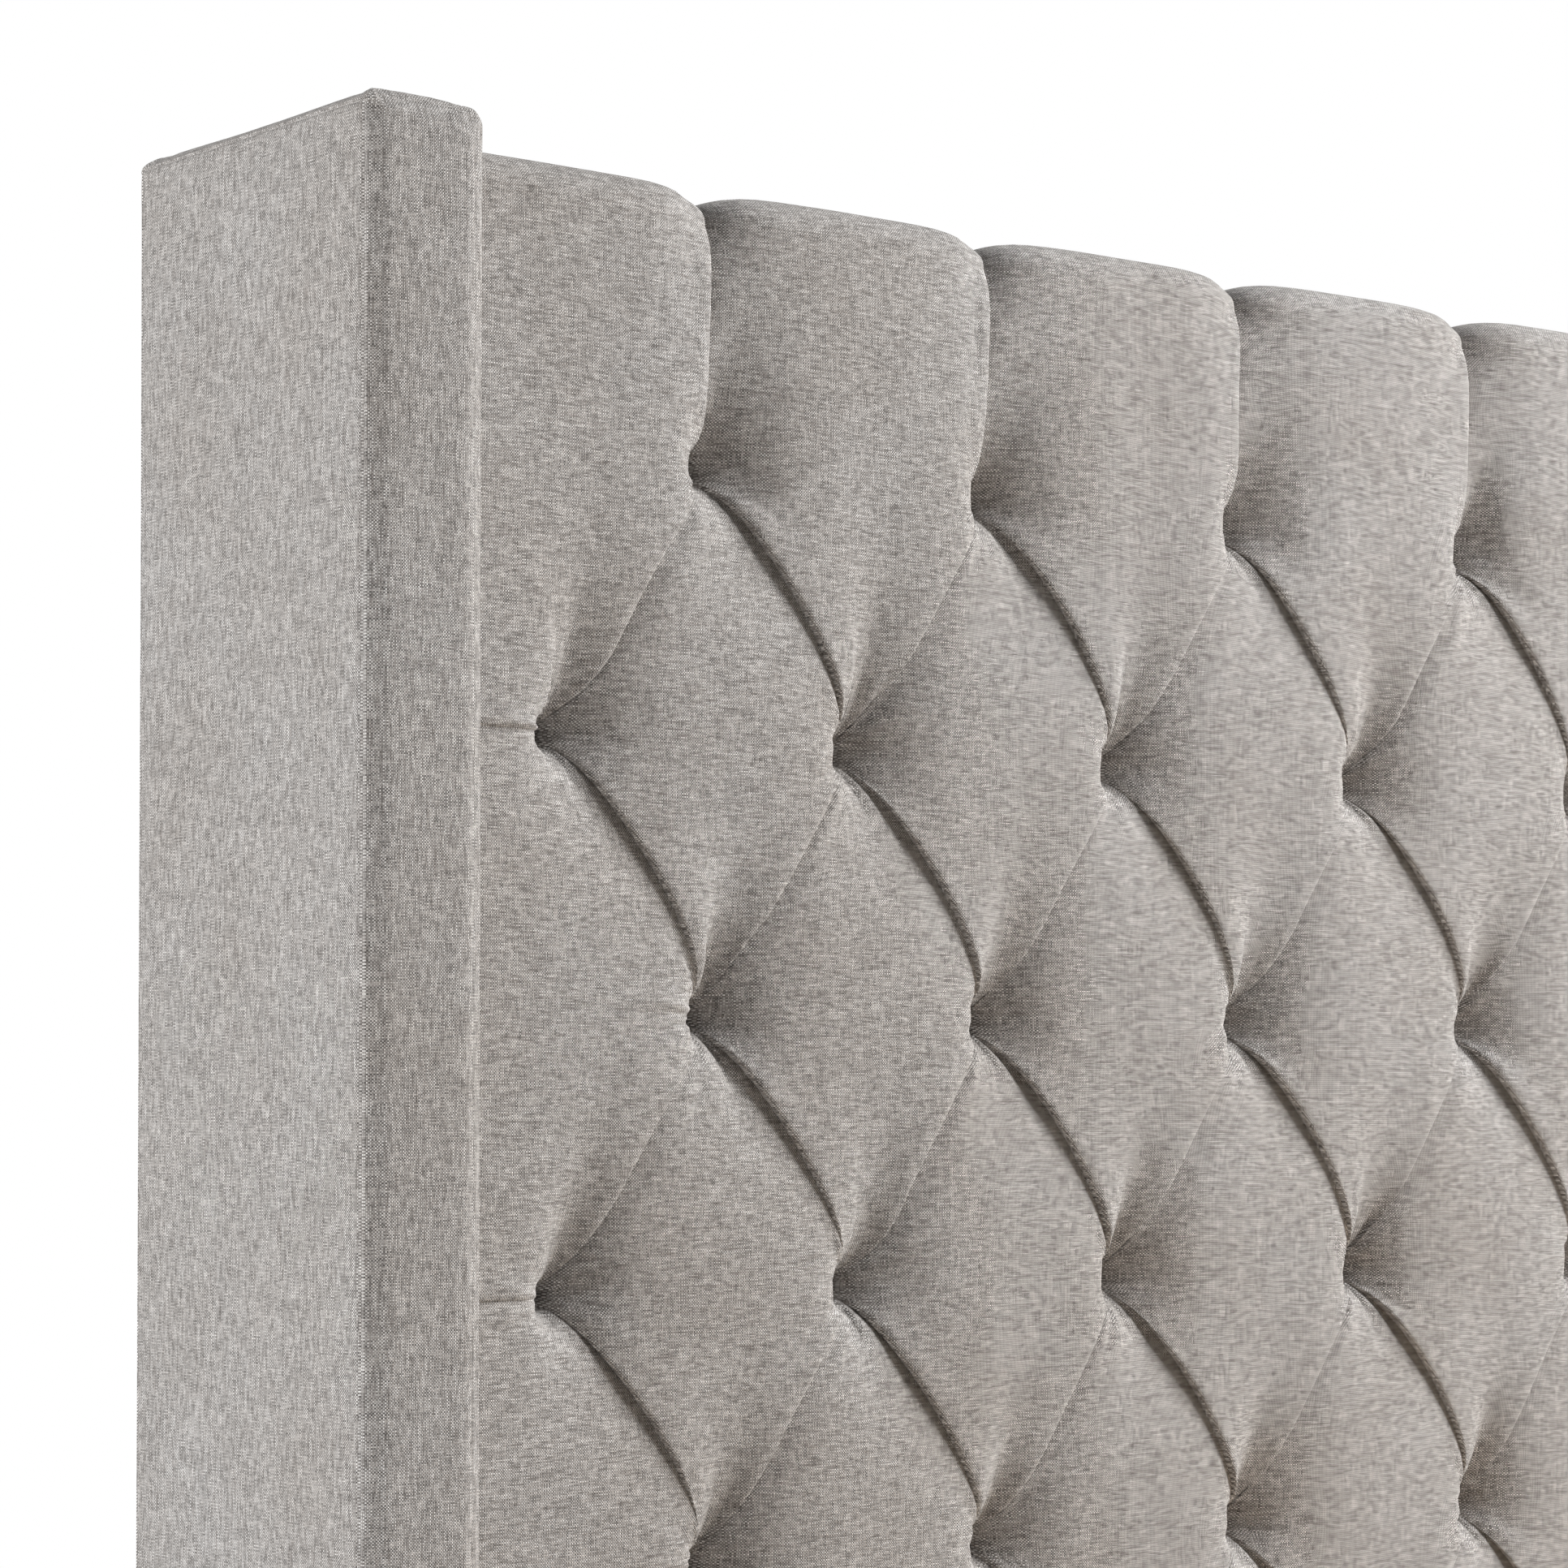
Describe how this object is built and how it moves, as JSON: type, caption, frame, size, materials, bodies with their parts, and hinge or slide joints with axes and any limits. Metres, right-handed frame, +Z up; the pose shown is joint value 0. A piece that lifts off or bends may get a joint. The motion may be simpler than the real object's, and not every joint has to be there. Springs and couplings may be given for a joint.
{
  "type": "upholstered wingback bed",
  "caption": "Tall wingback bed frame with a deep-buttoned diamond-tufted headboard, padded rails and a slatted base with levelling centre legs.",
  "frame": {"origin": "on the floor, at the centre of the bed's footprint", "axes": "+X across the bed, to the right seen from the foot end; +Y along the bed towards the headboard; +Z up"},
  "size_m": [1.718, 2.28, 1.5],
  "materials": {
    "linen": "matt linen-look weave with darker and lighter yarns",
    "foam": "open-cell polyurethane foam",
    "pine": "planed softwood, unfinished",
    "plywood": "plywood, unfinished",
    "hardboard": "smooth brown hardboard",
    "stained_wood": "dark stained wood with a satin lacquer",
    "dust_cloth": "black non-woven dust cloth",
    "webbing": "natural woven tape",
    "zinc_steel": "zinc-plated steel",
    "black_steel": "black powder coat",
    "black_plastic": "moulded black plastic"
  },
  "bodies": {
    "bed": {"headboard_stiles": "pine", "headboard_top_rail": "pine", "headboard_middle_rail": "pine", "headboard_bottom_rail": "pine", "headboard_lower_rail": "pine", "headboard_studs": "pine", "frame_screws": "zinc_steel", "tuft_board": "plywood", "headboard_foam": "foam", "headboard_cover": "linen", "tuft_buttons": "linen", "tuft_ties": "webbing", "tie_washers": "black_plastic", "back_cover": "dust_cloth", "left_wing_posts": "pine", "left_wing_rungs": "pine", "left_wing_boards": "hardboard", "left_wing_foam": "foam", "left_wing_cover": "linen", "right_wing_posts": "pine", "right_wing_rungs": "pine", "right_wing_boards": "hardboard", "right_wing_foam": "foam", "right_wing_cover": "linen", "wing_rail_blocks": "pine", "wing_bolts": "zinc_steel", "wing_bolt_washers": "zinc_steel", "wing_t_nuts": "zinc_steel", "floor_glides": "black_plastic", "left_rail_core": "pine", "left_rail_foam": "foam", "left_rail_cover": "linen", "left_ledger": "pine", "right_rail_core": "pine", "right_rail_foam": "foam", "right_rail_cover": "linen", "right_ledger": "pine", "ledger_screws": "zinc_steel", "rail_hook_plates": "black_steel", "rail_slot_plates": "black_steel", "rail_plate_screws": "zinc_steel", "footboard_core": "pine", "footboard_foam": "foam", "footboard_cover": "linen", "footboard_legs": "stained_wood", "leg_bolts": "zinc_steel", "slats": "pine", "slat_tapes": "webbing", "slat_screws": "zinc_steel", "centre_beam": "pine", "beam_brackets": "black_steel", "bracket_screws": "zinc_steel", "centre_legs": "black_steel", "leg_inserts": "black_plastic"},
    "foot_1_pad": {"foot_pad_1": "black_plastic"},
    "foot_1_stud": {"foot_stud_1": "zinc_steel"},
    "foot_2_pad": {"foot_pad_2": "black_plastic"},
    "foot_2_stud": {"foot_stud_2": "zinc_steel"}
  },
  "joints": [
    {"name": "foot_1_height", "type": "slide", "parent": "bed", "child": "foot_1_pad", "axis": [0, 0, -1], "range_m": [-0.01, 0.01]},
    {"name": "foot_1_turn", "type": "hinge", "parent": "foot_1_pad", "child": "foot_1_stud", "pos_m": [0, -0.35, 0.04], "axis": [0, 0, -1], "range_deg": [-2880, 2880]},
    {"name": "foot_2_height", "type": "slide", "parent": "bed", "child": "foot_2_pad", "axis": [0, 0, -1], "range_m": [-0.01, 0.01]},
    {"name": "foot_2_turn", "type": "hinge", "parent": "foot_2_pad", "child": "foot_2_stud", "pos_m": [0, 0.35, 0.04], "axis": [0, 0, -1], "range_deg": [-2880, 2880]}
  ],
  "couplings": [
    {"joint": "foot_1_height", "follows": "foot_1_turn", "m_per_rad": 0.00019894},
    {"joint": "foot_2_height", "follows": "foot_2_turn", "m_per_rad": 0.00019894}
  ]
}
